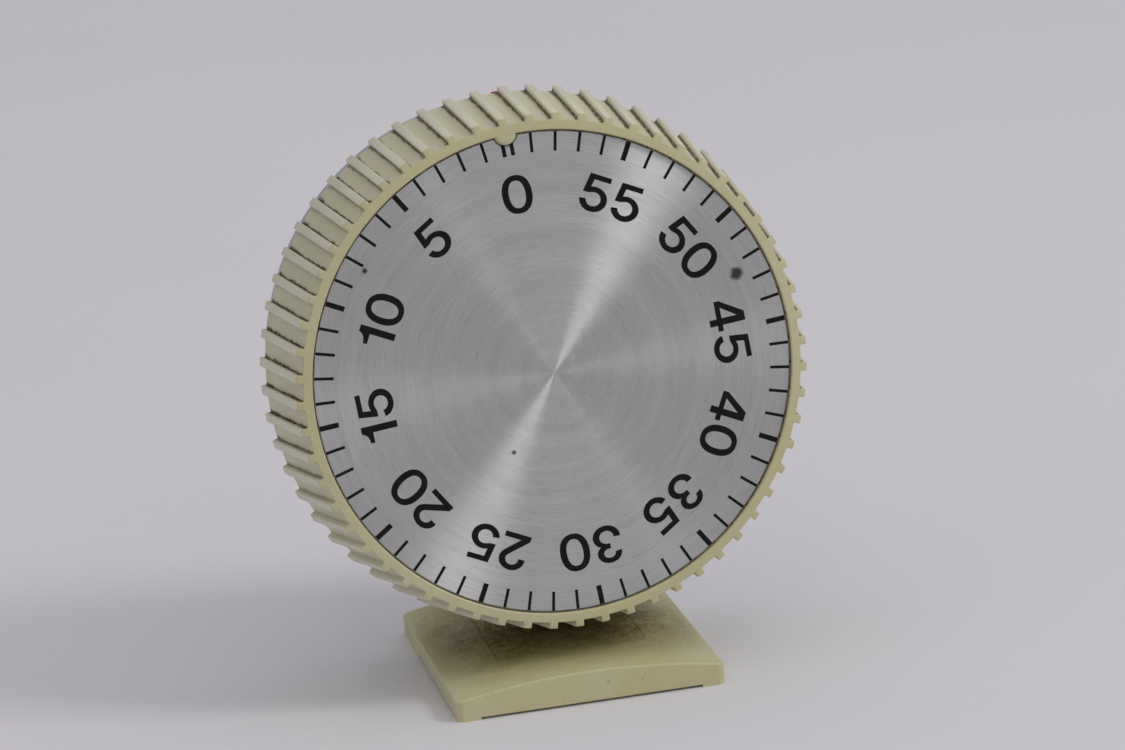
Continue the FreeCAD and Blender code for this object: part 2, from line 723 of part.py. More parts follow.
def gong_screw():
    head = rod(GONG_SCREW_HEAD_R, GONG_BACK, GONG_BACK + SCREW_HEAD_THICK)
    return head.fuse(rod(GONG_SCREW_R, GONG_BACK - GONG_SCREW_LONG, GONG_BACK)).removeSplitter()


# ---------------------------------------------------------------- rear case
def case_envelope(grow=0.0):
    """The rear case's outside as a solid, used for the case and for the neck's saddle."""
    shoulder_r, shoulder_at = CASE_SHOULDER
    front = CASE_AT - grow
    edge = Part.makePolygon([
        V(0, front, 0),
        V(CASE_R + grow, front, 0),
        V(CASE_R + grow, CASE_AT + CASE_BAND, 0),
        V(CASE_TAPER_R + grow, CASE_TAPER_TO, 0),
    ])
    curve = Part.Arc(V(CASE_TAPER_R + grow, CASE_TAPER_TO, 0), V(shoulder_r + grow, shoulder_at, 0),
                     V(CASE_BACK_R, CASE_BACK + grow, 0)).toShape()
    back = Part.makePolygon([
        V(CASE_BACK_R, CASE_BACK + grow, 0),
        V(0, CASE_BACK + grow, 0),
        V(0, front, 0),
    ])
    outline = Part.Wire(edge.Edges + [curve] + back.Edges)
    return Part.Face(outline).revolve(V(0, 0, 0), V(0, 1, 0), 360)


def case_hollow():
    """The space inside the rear case, one wall in from the outside."""
    shoulder_r, shoulder_at = CASE_SHOULDER
    wall = CASE_WALL
    front = CASE_AT + wall
    edge = Part.makePolygon([
        V(0, front, 0),
        V(CASE_R - wall, front, 0),
        V(CASE_TAPER_R - wall, CASE_TAPER_TO, 0),
    ])
    curve = Part.Arc(V(CASE_TAPER_R - wall, CASE_TAPER_TO, 0),
                     V(shoulder_r - wall, shoulder_at - wall / 2, 0),
                     V(CASE_BACK_R - wall / 2, CASE_BACK - wall, 0)).toShape()
    back = Part.makePolygon([V(CASE_BACK_R - wall / 2, CASE_BACK - wall, 0),
                             V(0, CASE_BACK - wall, 0), V(0, front, 0)])
    outline = Part.Wire(edge.Edges + [curve] + back.Edges)
    return Part.Face(outline).revolve(V(0, 0, 0), V(0, 1, 0), 360)


def rear_case():
    """Pressed metal cup behind the ring, with sound slots in its back."""
    mouth_r = COLLAR_R - COLLAR_WALL
    screw_hole_r = CASE_SCREW_R + SCREW_HOLE_CLEARANCE
    shape = bored(case_envelope().cut(case_hollow()), mouth_r, CASE_AT, CASE_AT + CASE_WALL)
    shape = shape.fuse(tube(COLLAR_R, mouth_r, CASE_AT - COLLAR_REACH, CASE_AT + CASE_WALL))
    for index in range(SOUND_SLOT_COUNT):
        height = (index - (SOUND_SLOT_COUNT - 1) / 2) * SOUND_SLOT_PITCH
        shape = shape.cut(sound_slot(height))
    for degrees in SPACER_ANGLES:
        shape = bored(shape, screw_hole_r, CASE_FLOOR, CASE_BACK, polar(SPACER_CIRCLE_R, degrees))
    for x in (-NECK_SCREW_X, NECK_SCREW_X):
        hole_r = NECK_SCREW_R + SCREW_HOLE_CLEARANCE
        shape = shape.cut(upright_rod(hole_r, -CASE_R, neck_screw_seat(), x, NECK_SCREW_AT))
    return shape.cut(index_mark()).removeSplitter()


def sound_slot(height):
    """A round-ended slot through the back wall, shorter away from the middle."""
    half = math.sqrt(SOUND_SLOT_SPAN_R ** 2 - height ** 2) - SOUND_SLOT_WIDTH / 2
    front = CASE_FLOOR - CUT_PAST
    deep = CASE_WALL + 2 * CUT_PAST
    slot = bar((-half, height), (half, height), SOUND_SLOT_WIDTH, front, deep)
    for side in (-half, half):
        slot = slot.fuse(rod(SOUND_SLOT_WIDTH / 2, front, front + deep, (side, height)))
    return slot


def index_mark():
    """Small plug on the top of the case that the scale is read against."""
    return upright_rod(INDEX_R, INDEX_FOOT_R, INDEX_TOP_R, 0, INDEX_AT)


def case_spacers():
    """Three sleeves between the back plate and the case's back wall."""
    bore = CASE_SCREW_R + SCREW_HOLE_CLEARANCE
    places = [polar(SPACER_CIRCLE_R, degrees) for degrees in SPACER_ANGLES]
    return [tube(SPACER_R, bore, PLATE_BACK, CASE_FLOOR, place) for place in places]


def case_screws():
    """Three screws through the case's back wall and the spacers into the back plate."""
    screws = []
    for degrees in SPACER_ANGLES:
        place = polar(SPACER_CIRCLE_R, degrees)
        screw = rod(CASE_SCREW_HEAD_R, CASE_BACK, CASE_BACK + SCREW_HEAD_THICK, place)
        screw = screw.fuse(rod(CASE_SCREW_R, BACK_PLATE_AT, CASE_BACK, place))
        screws.append(screw.removeSplitter())
    return screws


# ---------------------------------------------------------------- foot and neck
def arched(x0, x1, y0, y1, low, corner):
    """A block under the foot's arched top, with rounded upright corners."""
    half = FOOT_WIDTH / 2
    peak = FOOT_EDGE_HIGH + FOOT_RISE
    arc = Part.Arc(V(-half, y0, FOOT_EDGE_HIGH), V(0, y0, peak), V(half, y0, FOOT_EDGE_HIGH)).toShape()
    sides = Part.makePolygon([V(half, y0, FOOT_EDGE_HIGH), V(half, y0, low), V(-half, y0, low),
                              V(-half, y0, FOOT_EDGE_HIGH)])
    under_arch = Part.Face(Part.Wire([arc] + sides.Edges)).extrude(V(0, y1 - y0, 0))
    return under_arch.common(rounded_block(x0, x1, y0, y1, low, peak, corner))


def base_plate():
    """Square foot with an arched top, a seat for the neck and four corner pads."""
    half_x, half_y = FOOT_WIDTH / 2, FOOT_DEPTH / 2
    shape = arched(-half_x, half_x, -half_y, half_y, 0, FOOT_CORNER_R)
    top_edges = [edge for edge in shape.Edges if edge.BoundBox.ZMin > FOOT_EDGE_HIGH - 0.1]
    shape = shape.makeFillet(FOOT_EDGE_ROUND, top_edges)
    across = Part.makeBox(FOOT_WIDTH, FOOT_DEPTH - PAD_WIDE - REAR_PAD_LONG, RELIEF_DEEP,
                          V(-half_x, PAD_WIDE - half_y, 0))
    along = Part.makeBox(FOOT_WIDTH - 2 * PAD_WIDE, FOOT_DEPTH, RELIEF_DEEP,
                         V(PAD_WIDE - half_x, -half_y, 0))
    seat = rounded_block(-SEAT_HALF_WIDTH, SEAT_HALF_WIDTH, SEAT_FRONT_Y, SEAT_REAR_Y,
                         SEAT_FLOOR_Z, FOOT_EDGE_HIGH + FOOT_RISE + CUT_PAST, SEAT_CORNER_R)
    shape = shape.cut([across, along, seat])
    hole_r = FOOT_SCREW_R + SCREW_HOLE_CLEARANCE
    sink_r = FOOT_SCREW_HEAD_R + FOOT_SCREW_HEAD_CLEARANCE
    for x, y in FOOT_SCREW_PLACES:
        shape = shape.cut(upright_rod(hole_r, 0, SEAT_FLOOR_Z + CUT_PAST, x, y))
        shape = shape.cut(upright_rod(sink_r, 0, RELIEF_DEEP + FOOT_SCREW_HEAD_THICK, x, y))
    return shape


def stand_neck():
    """Flush insert with the short neck that the rear case sits on."""
    half = SEAT_HALF_WIDTH - SEAM
    insert = arched(-half, half, SEAT_FRONT_Y + SEAM, SEAT_REAR_Y - SEAM,
                    SEAT_FLOOR_Z, SEAT_CORNER_R - SEAM)
    corner = V(-NECK_HALF_WIDTH, NECK_FRONT_Y, SEAT_FLOOR_Z)
    column = Part.makeBox(2 * NECK_HALF_WIDTH, NECK_REAR_Y - NECK_FRONT_Y,
                          NECK_BLOCK_TOP_Z - SEAT_FLOOR_Z, corner)
    ahead = rod(CASE_R + NECK_SADDLE_GAP, CASE_AT - COLLAR_REACH - CUT_PAST, CASE_AT)
    saddle = placed(case_envelope(NECK_SADDLE_GAP).fuse(ahead))
    shape = insert.fuse(column).cut(saddle)
    return shape.cut(foot_screws() + neck_screws()).removeSplitter()


def foot_screws():
    """Four screws up through the foot into the neck."""
    screws = []
    head_top = RELIEF_DEEP + FOOT_SCREW_HEAD_THICK
    for x, y in FOOT_SCREW_PLACES:
        head = upright_rod(FOOT_SCREW_HEAD_R, RELIEF_DEEP, head_top, x, y)
        shank = upright_rod(FOOT_SCREW_R, head_top, FOOT_SCREW_TIP_Z, x, y)
        screws.append(head.fuse(shank).removeSplitter())
    return screws


def neck_screw_seat():
    """Height of the underside of the neck screws' heads, in the drum's frame."""
    inner_r = CASE_TAPER_R - CASE_WALL
    return NECK_SCREW_HEAD_LIFT - math.sqrt(inner_r ** 2 - NECK_SCREW_X ** 2)


def neck_screws():
    """Screws from inside the case down into the neck."""
    screws = []
    seat = neck_screw_seat()
    for x in (-NECK_SCREW_X, NECK_SCREW_X):
        head = upright_rod(NECK_SCREW_HEAD_R, seat, seat + NECK_SCREW_HEAD_THICK, x, NECK_SCREW_AT)
        shank = upright_rod(NECK_SCREW_R, NECK_SCREW_TIP_Z, seat, x, NECK_SCREW_AT)
        screws.append(placed(head.fuse(shank).removeSplitter()))
    return screws


# ---------------------------------------------------------------- export
def drum_parts():
    """Nodes drawn in the drum's frame."""
    return {
        "setting_ring": setting_ring(),
        "dial_plate": dial_plate(),
        "hub_bush": hub_bush(),
        "hub_nut": hub_nut(),
        "main_arbor": main_arbor(),
        "great_wheel": great_wheel(),
        "strike_cam": strike_cam(),
        "front_plate": front_plate(),
        "back_plate": back_plate(),
        "front_bush": front_bush(),
        "back_bush": back_bush(),
        "pillars": Part.makeCompound(pillars()),
        "pillar_screws": Part.makeCompound(pillar_screws()),
        "stop_pin": stop_pin(),
        "second_arbor": second_arbor(),
        "second_wheel": second_wheel(),
        "third_arbor": third_arbor(),
        "third_wheel": third_wheel(),
        "escape_arbor": escape_arbor(),
        "escape_wheel": escape_wheel(),
        "verge_arbor": verge_arbor(),
        "pallet_lever": pallet_lever(),
        "balance_bar": balance_bar(),
        "mainspring": mainspring(),
        "spring_post": spring_post(),
        "hammer_arbor": hammer_arbor(),
        "hammer": hammer(),
        "hammer_tail": hammer_tail(),
        "gong_post": gong_post(),
        "gong": gong(),
        "gong_screw": gong_screw(),
        "rear_case": rear_case(),
        "index_mark": index_mark(),
        "case_spacers": Part.makeCompound(case_spacers()),
        "case_screws": Part.makeCompound(case_screws()),
    }


def foot_parts():
    """Nodes drawn where they stand."""
    return {
        "base_plate": base_plate(),
        "stand_neck": stand_neck(),
        "foot_screws": Part.makeCompound(foot_screws()),
        "neck_screws": Part.makeCompound(neck_screws()),
    }


def main():
    os.makedirs("parts", exist_ok=True)
    parts = {name: placed(shape) for name, shape in drum_parts().items()}
    parts.update(foot_parts())
    for name, shape in parts.items():
        shape.exportStep(f"parts/{name}.step")


main()
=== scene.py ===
import json
import math

import bmesh
import bpy
from mathutils import Matrix, Vector


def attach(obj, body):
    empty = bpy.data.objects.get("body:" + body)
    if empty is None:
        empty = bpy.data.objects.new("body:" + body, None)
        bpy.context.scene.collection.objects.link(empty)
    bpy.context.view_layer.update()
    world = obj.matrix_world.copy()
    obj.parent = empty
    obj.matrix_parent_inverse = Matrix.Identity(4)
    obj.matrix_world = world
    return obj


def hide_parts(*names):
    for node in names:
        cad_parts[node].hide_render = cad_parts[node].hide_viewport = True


# Looks of the sixty-minute kitchen timer. The drum's pieces are drawn in millimetres in the drum's
# own frame: x to the right, y the depth behind the ring's face, z up the dial. Matrix DRUM puts
# them where the drum stands, in metres. Angles are counter-clockwise as the user sees the dial.

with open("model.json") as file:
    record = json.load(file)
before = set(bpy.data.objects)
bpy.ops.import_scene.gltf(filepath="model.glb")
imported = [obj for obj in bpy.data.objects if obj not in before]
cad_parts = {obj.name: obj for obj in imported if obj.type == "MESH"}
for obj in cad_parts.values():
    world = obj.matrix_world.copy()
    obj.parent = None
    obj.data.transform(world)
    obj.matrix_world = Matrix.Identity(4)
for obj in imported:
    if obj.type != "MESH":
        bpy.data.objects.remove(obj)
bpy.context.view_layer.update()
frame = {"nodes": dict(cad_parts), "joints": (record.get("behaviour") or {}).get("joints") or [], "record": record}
NODES = frame["nodes"]
MM = 0.001

# ---------------------------------------------------------------- driving sizes, millimetres
MINUTES = 60
REST_PAST_ZERO = 6.0
RING_WALL = 2.1
RIB_WIDTH = 1.5
RIB_HEIGHT = 1.2
RIB_ROOT_ROUND = 0.1
RIB_TIP_ROUND = 0.14
RIB_END_ROUND = 0.6
RING_EDGE_ROUND = 0.3
LUG_R = 2.0
LUG_CIRCLE_R = 44.2
LUG_OUTER_R = 45.3
LUG_EDGE_ROUND = 0.6
FACE_SLOPE = 0.11
FACE_SLOPE_DEPTH = 3.0
LUG_PROUD = 0.015
WEB_THICK = 2.0
BOSS_R = 9.5
BOSS_END = 10.5
HUB_POCKET_R = 7.0
HUB_SEAM_MERGE = 0.06
DIAL_EDGE_GAP = 0.25
DIAL_EDGE_ROUND = 0.12
DIAL_MESH_RADII = (0.4, 2, 6, 12, 20, 28, 36)
DIAL_MESH_STEPS = 240
INK_THICK = 0.02
TICK_IN_R = 40.1
TICK_THIN = 0.55
TICK_THICK = 0.95
ZERO_BAR = 0.72
ZERO_BAR_OFFSET = 0.78
NUMERAL_R = 33.1
NUMERAL_HEIGHT = 6.62

# spots on the dial: x and z of the middle, and size
DIAL_SPOTS = ((35.2, 13.7, 1.3), (-32.2, 22.7, 0.6), (-8.8, -13.5, 0.5))

# stain and painted shade on the foot's top under the drum: the patch it spreads from and how far it reaches;
# it starts between the first two heights and fades between the second two
STAIN_SHADE_HALF_WIDTH = 10.0
STAIN_SHADE_MIDDLE_Y = 6.0
STAIN_SHADE_HALF_LENGTH = 9.0
STAIN_SHADE_SPREAD = 23.0
STAIN_SHADE_START_Z = (3.6, 4.2)
STAIN_SHADE_FADE_Z = (6.8, 8.5)


# ---------------------------------------------------------------- measured from the frame
def drum_frame():
    """Matrix from the drum's frame in millimetres to the stand's frame in metres."""
    turn = next(joint for joint in frame["joints"] if joint["name"] == "ring_turn")
    axis = Vector(turn["axis"])
    pivot = Vector(turn["pos_m"])
    face = min((corner.co - pivot) @ axis for corner in NODES["setting_ring"].data.vertices)
    across = Vector((1, 0, 0))
    turned = Matrix((across, axis, across.cross(axis))).transposed().to_4x4()
    return Matrix.Translation(pivot + face * axis) @ turned @ Matrix.Scale(MM, 4)


DRUM = drum_frame()


def reach(node):
    """Front depth, back depth and greatest radius of a node in the drum's frame."""
    places = [DRUM.inverted() @ corner.co for corner in NODES[node].data.vertices]
    depths = [place.y for place in places]
    return min(depths), max(depths), max(math.hypot(place.x, place.z) for place in places)


DIAL_FRONT, DIAL_BACK, DIAL_R = reach("dial_plate")
RING_DEPTH, RING_TIP_R = reach("setting_ring")[1:]
BORE_R = DIAL_R + DIAL_EDGE_GAP
RING_FRONT_R = BORE_R + 1.7
RING_REAR_R = RING_TIP_R - RIB_HEIGHT + 0.08


def polar(radius, degrees, depth=0.0):
    angle = math.radians(degrees)
    return Vector((radius * math.cos(angle), depth, radius * math.sin(angle)))


def turn_by(degrees):
    """Rotation about the drum's axis, counter-clockwise as the user sees it."""
    return Matrix.Rotation(math.radians(-degrees), 4, "Y")


ZERO_ANGLE = 90 + REST_PAST_ZERO


# ---------------------------------------------------------------- meshes
def add_piece(name, mesh, material, body, stands_for=(), sharp_over=35):
    """Finish a mesh and let it ride on a body in place of the CAD nodes it stands for."""
    bmesh.ops.recalc_face_normals(mesh, faces=mesh.faces)
    for face in mesh.faces:
        face.smooth = True
    for edge in mesh.edges:
        edge.smooth = edge.calc_face_angle(0) < math.radians(sharp_over)
    data = bpy.data.meshes.new(name)
    mesh.to_mesh(data)
    mesh.free()
    piece = bpy.data.objects.new(name, data)
    bpy.context.scene.collection.objects.link(piece)
    data.materials.append(material)
    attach(piece, body)
    if stands_for:
        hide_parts(*stands_for)
    return piece


def add_copies(mesh, source, turns):
    """Copy all of one mesh into another, once for each turn about the drum's axis."""
    data = bpy.data.meshes.new("copy")
    source.to_mesh(data)
    source.free()
    for degrees in turns:
        before = len(mesh.verts)
        mesh.from_mesh(data)
        mesh.verts.ensure_lookup_table()
        bmesh.ops.transform(mesh, matrix=turn_by(degrees), verts=mesh.verts[before:])
    bpy.data.meshes.remove(data)


# ---------------------------------------------------------------- setting ring
def rib_outline(mesh):
    """One sixtieth of the rim seen from the front: half a groove, a rib and half a groove."""
    half_rib = math.degrees(RIB_WIDTH / 2 / RING_FRONT_R)
    half_pitch = 180 / MINUTES
    tip_r = RING_FRONT_R + RIB_HEIGHT
    places = [
        polar(RING_FRONT_R, -half_pitch),
        polar(RING_FRONT_R, -half_rib),
        polar(tip_r, -half_rib * RING_FRONT_R / tip_r),
        polar(tip_r, half_rib * RING_FRONT_R / tip_r),
        polar(RING_FRONT_R, half_rib),
        polar(RING_FRONT_R, half_pitch),
    ]
    corners = [mesh.verts.new(place) for place in places]
    for start, end in zip(corners, corners[1:]):
        mesh.edges.new((start, end))
    for ends, size in ((corners[2:4], RIB_TIP_ROUND), ((corners[1], corners[4]), RIB_ROOT_ROUND)):
        bmesh.ops.bevel(mesh, geom=list(ends), offset=size, segments=3, profile=0.5,
                        affect="VERTICES", material=-1)


def ring_sector():
    """The rim, web and boss of one sixtieth of the ring, drawn out from the rib's outline."""
    mesh = bmesh.new()
    rib_outline(mesh)
    half_rib = RIB_WIDTH / 2 / RING_FRONT_R
    outline = list(mesh.edges)

    def draw_out(edges, depth, groove_r, rib_height, old_groove_r, old_height, narrow=0.0):
        """Extrude the outline to another depth, radius and rib height."""
        made = bmesh.ops.extrude_edge_only(mesh, edges=edges)["geom"]
        for corner in (item for item in made if isinstance(item, bmesh.types.BMVert)):
            radius = math.hypot(corner.co.x, corner.co.z)
            angle = math.atan2(corner.co.z, corner.co.x)
            share = (radius - old_groove_r) / old_height if old_height else 0.0
            if abs(angle) < half_rib * 1.2:
                angle *= 1 - narrow * share
            corner.co = polar(groove_r + rib_height * share, math.degrees(angle), depth)
        return [item for item in made if isinstance(item, bmesh.types.BMEdge)]

    for corner in mesh.verts:
        corner.co.y = RING_EDGE_ROUND
    flare = (RING_REAR_R - RING_FRONT_R) / RING_DEPTH
    end_at = RING_DEPTH - RIB_END_ROUND
    rear_groove_r = RING_FRONT_R + flare * end_at

    # forward over the rounded edge, across the face, down the bore and over the web's front
    edge = RING_EDGE_ROUND
    loop = draw_out(outline, edge * 0.3, RING_FRONT_R, RIB_HEIGHT - edge * 0.25,
                    RING_FRONT_R, RIB_HEIGHT, 0.1)
    loop = draw_out(loop, 0, RING_FRONT_R - edge * 0.3, RIB_HEIGHT - edge * 0.8,
                    RING_FRONT_R, RIB_HEIGHT - edge * 0.25, 0.22)
    height = RIB_HEIGHT - edge * 0.8
    loop = draw_out(loop, 0, BORE_R + edge * 0.6, 0, RING_FRONT_R - edge * 0.3, height)
    inside = ((BORE_R, edge * 0.6), (BORE_R, DIAL_BACK), (HUB_POCKET_R, DIAL_BACK),
              (HUB_POCKET_R, BOSS_END))
    for radius, depth in inside:
        loop = draw_out(loop, depth, radius, 0, 0, 0)

    # back along the ribs, over their rear ends and up inside the wall to the boss
    wall_r = RING_REAR_R - RING_WALL
    web_back = DIAL_BACK + WEB_THICK
    loop = draw_out(outline, end_at, rear_groove_r, RIB_HEIGHT, RING_FRONT_R, RIB_HEIGHT)
    loop = draw_out(loop, end_at + RIB_END_ROUND * 0.6, rear_groove_r, RIB_HEIGHT - 0.16,
                    rear_groove_r, RIB_HEIGHT)
    loop = draw_out(loop, RING_DEPTH, RING_REAR_R, RIB_HEIGHT - RIB_END_ROUND,
                    rear_groove_r, RIB_HEIGHT - 0.16, 0.1)
    loop = draw_out(loop, RING_DEPTH, wall_r, 0, RING_REAR_R, RIB_HEIGHT - RIB_END_ROUND)
    behind = ((RING_FRONT_R - RING_WALL, web_back), (BOSS_R, web_back), (BOSS_R, BOSS_END),
              (HUB_POCKET_R, BOSS_END))
    for radius, depth in behind:
        loop = draw_out(loop, depth, radius, 0, 0, 0)
    return mesh


def slope_face(mesh):
    """Lean the ring's face back a little towards its outside."""
    for corner in mesh.verts:
        outward = max(0.0, math.hypot(corner.co.x, corner.co.z) - BORE_R)
        fading = max(0.0, 1 - corner.co.y / FACE_SLOPE_DEPTH)
        corner.co.y += outward * FACE_SLOPE * fading


def setting_ring(material):
    """Sixty sectors joined into one rim, with the lug at zero."""
    mesh = bmesh.new()
    turns = [ZERO_ANGLE + 360 * index / MINUTES for index in range(MINUTES)]
    add_copies(mesh, ring_sector(), turns)
    add_copies(mesh, lug(), [ZERO_ANGLE])
    bmesh.ops.remove_doubles(mesh, verts=mesh.verts, dist=0.002)
    hub_seam = [corner for corner in mesh.verts if corner.co.y > BOSS_END - 0.001
                and math.hypot(corner.co.x, corner.co.z) < HUB_POCKET_R + 0.001]
    bmesh.ops.remove_doubles(mesh, verts=hub_seam, dist=HUB_SEAM_MERGE)
    slope_face(mesh)
    mesh.transform(DRUM)
    return add_piece("ribbed_ring", mesh, material, "drum", ["setting_ring"])


def lug():
    """Half-round lug that reaches in over the dial, drawn at angle zero."""
    mesh = bmesh.new()
    depth = DIAL_FRONT + LUG_PROUD
    centre = polar(LUG_CIRCLE_R, 0, depth / 2 - LUG_PROUD)
    turned = Matrix.Translation(centre) @ Matrix.Rotation(math.radians(90), 4, "X")
    bmesh.ops.create_cone(mesh, cap_ends=True, segments=64, radius1=LUG_R, radius2=LUG_R,
                          depth=depth, matrix=turned)
    front = [edge for edge in mesh.edges if all(corner.co.y < 0 for corner in edge.verts)]
    bmesh.ops.bevel(mesh, geom=front, offset=LUG_EDGE_ROUND, segments=4, profile=0.5,
                    affect="EDGES", material=-1)
    bmesh.ops.bisect_plane(mesh, geom=mesh.verts[:] + mesh.edges[:] + mesh.faces[:],
                           plane_co=(LUG_OUTER_R, 0, 0), plane_no=(1, 0, 0), clear_outer=True)
    bmesh.ops.holes_fill(mesh, edges=[edge for edge in mesh.edges if edge.is_boundary], sides=0)
    return mesh


# ---------------------------------------------------------------- dial
def dial_disc(material):
    """Round plate with a map whose first direction runs outwards and second round the dial."""
    mesh = bmesh.new()
    radii = [*DIAL_MESH_RADII, DIAL_R - DIAL_EDGE_ROUND]
    corners = [mesh.verts.new(polar(radius, 0, DIAL_FRONT)) for radius in radii]
    corners.append(mesh.verts.new(polar(DIAL_R, 0, DIAL_FRONT + DIAL_EDGE_ROUND)))
    corners.append(mesh.verts.new(polar(DIAL_R, 0, DIAL_BACK)))
    spokes = [mesh.edges.new(pair) for pair in zip(corners, corners[1:])]
    bmesh.ops.spin(mesh, geom=corners + spokes, cent=(0, 0, 0), axis=(0, -1, 0),
                   angle=math.tau, steps=DIAL_MESH_STEPS, use_merge=True)
    rims = [edge for edge in mesh.edges if edge.is_boundary]
    bmesh.ops.holes_fill(mesh, edges=rims, sides=DIAL_MESH_STEPS + 1)
    layer = mesh.loops.layers.uv.new("polar")
    for face in mesh.faces:
        middle = face.calc_center_median()
        middle_angle = math.atan2(middle.z, middle.x)
        for loop in face.loops:
            place = loop.vert.co
            angle = math.atan2(place.z, place.x)
            angle += math.tau * round((middle_angle - angle) / math.tau)
            loop[layer].uv = (math.hypot(place.x, place.z) / DIAL_R, angle / math.tau)
    mesh.transform(DRUM)
    return add_piece("dial_disc", mesh, material, "drum", ["dial_plate"])


def printed(name, shapes, material):
    """Thin ink on the dial. Each shape is two edges of (x, z) places with ink between them."""
    mesh = bmesh.new()
    for left, right in shapes:
        near = [mesh.verts.new((x, DIAL_FRONT, z)) for x, z in left]
        far = [mesh.verts.new((x, DIAL_FRONT, z)) for x, z in right]
        for index in range(len(near) - 1):
            mesh.faces.new((near[index], near[index + 1], far[index + 1], far[index]))
    bmesh.ops.recalc_face_normals(mesh, faces=mesh.faces)
    made = bmesh.ops.extrude_face_region(mesh, geom=list(mesh.faces))["geom"]
    raised = [item for item in made if isinstance(item, bmesh.types.BMVert)]
    bmesh.ops.translate(mesh, vec=(0, -INK_THICK, 0), verts=raised)
    mesh.transform(DRUM)
    return add_piece(name, mesh, material, "drum")


def dial_place(x, z, degrees):
    """A place drawn with z pointing out along 90 degrees, turned to another angle."""
    place = turn_by(degrees - 90) @ Vector((x, 0, z))
    return place.x, place.z


def minute_marks(material):
    shapes = []
    for minute in range(1, MINUTES):
        width = TICK_THIN if minute % 5 else TICK_THICK
        shapes.append(mark(0, width, ZERO_ANGLE + 360 * minute / MINUTES))
    for offset in (-ZERO_BAR_OFFSET, ZERO_BAR_OFFSET):
        shapes.append(mark(offset, ZERO_BAR, ZERO_ANGLE))
    return printed("minute_marks", shapes, material)


def mark(offset, width, degrees):
    """A straight bar from the dial's edge inwards."""
    outer = DIAL_R - DIAL_EDGE_ROUND
    edges = []
    for side in (offset - width / 2, offset + width / 2):
        out = math.sqrt(outer ** 2 - side ** 2)
        edges.append([dial_place(side, TICK_IN_R, degrees), dial_place(side, out, degrees)])
    return edges


# Numerals: each figure is a list of shapes in millimetres, from its left edge and its baseline.
def arc(centre, wide, high, start, end, steps=14):
    angles = [math.radians(start + (end - start) * step / steps) for step in range(steps + 1)]
    return [(centre[0] + wide * math.cos(angle), centre[1] + high * math.sin(angle)) for angle in angles]


def figure_zero():
    loops = []
    for wide, high in ((2.75, 3.5), (1.52, 2.5)):
        points = []
        for step in range(49):
            angle = math.tau * step / 48
            points.append((2.75 + wide * math.copysign(abs(math.cos(angle)) ** 0.88, math.cos(angle)),
                           3.3 + high * math.copysign(abs(math.sin(angle)) ** 0.88, math.sin(angle))))
        loops.append(points)
    return [loops]


def figure_one():
    flag = arc((0, 6.72), 1.9, 1.4, -90, -4, 8)
    under = [(1.9 * step / 8, 4.55) for step in range(9)]
    return [(flag, under), ([(1.9, 0), (1.9, 6.62)], [(3.15, 0), (3.15, 6.62)])]


def figure_two():
    outer = [(0.0, 4.42)] + arc((2.42, 4.72), 2.42, 2.06, 180, -38, 20) + [(1.75, 0.97)]
    inner = [(1.2, 4.42)] + arc((2.42, 4.72), 1.2, 1.05, 180, -38, 20) + [(0.1, 0.97)]
    return [(outer, inner), ([(0.0, 0), (4.95, 0)], [(0.1, 0.97), (4.95, 0.97)])]


def figure_three():
    waist = 3.63
    upper = [(x, max(waist, y)) for x, y in arc((2.5, 5.0), 2.28, 1.8, 187, -90, 24)]
    upper_in = arc((2.5, 5.0), 1.08, 0.86, 187, -90, 24)
    lower = [(x, min(waist, y)) for x, y in arc((2.56, 1.94), 2.56, 2.14, 90, -187, 24)]
    lower_in = arc((2.56, 1.99), 1.33, 1.19, 90, -187, 24)
    return [
        (upper + [(2.1, waist)], upper_in + [(2.1, 4.12)]),
        ([(2.1, waist)] + lower, [(2.1, 3.18)] + lower_in),
    ]


def figure_four():
    return [
        ([(3.2, 0), (3.2, 6.62)], [(4.45, 0), (4.45, 6.62)]),
        ([(0, 1.38), (3.2, 1.38)], [(0, 2.34), (3.2, 2.34)]),
        ([(4.45, 1.38), (5.55, 1.38)], [(4.45, 2.34), (5.55, 2.34)]),
        ([(0, 2.34), (2.72, 6.62), (3.2, 6.62)], [(1.25, 2.34), (3.2, 5.2), (3.2, 5.2)]),
    ]


def figure_five():
    outer = arc((2.68, 2.08), 2.6, 2.28, 189, 475, 24)
    inner = arc((2.68, 2.1), 1.38, 1.28, 189, 475, 24)
    return [
        (outer + [(1.62, 3.92)], inner + [(1.4, 3.04)]),
        ([(0.39, 3.04), (0.5, 3.92), (0.72, 5.6)], [(1.4, 3.04), (1.62, 3.92), (1.86, 5.6)]),
        ([(0.72, 5.6), (4.95, 5.6)], [(0.84, 6.55), (4.95, 6.55)]),
    ]


FIGURES = {"0": figure_zero, "1": figure_one, "2": figure_two, "3": figure_three, "4": figure_four,
           "5": figure_five}
FIGURE_WIDTH = {"0": 5.5, "1": 3.15, "2": 4.95, "3": 5.12, "4": 5.55, "5": 5.28}
FIGURE_GAP = {"0": 0.0, "1": 0.95, "2": 0.68, "3": 0.9, "4": 0.7, "5": 0.85}


def numerals(material):
    """The numbers 0 to 55, with their tops outwards."""
    shapes = []
    for minute in range(0, MINUTES, 5):
        text = str(minute)
        width = sum(FIGURE_WIDTH[figure] for figure in text)
        width += sum(FIGURE_GAP[figure] for figure in text[:-1])
        left = -width / 2
        low = NUMERAL_R - NUMERAL_HEIGHT / 2
        degrees = ZERO_ANGLE + 360 * minute / MINUTES
        for figure in text:
            for edges in FIGURES[figure]():
                shapes.append([[dial_place(left + x, low + z, degrees) for x, z in edge]
                               for edge in edges])
            left += FIGURE_WIDTH[figure] + FIGURE_GAP[figure]
    return printed("numerals", shapes, material)


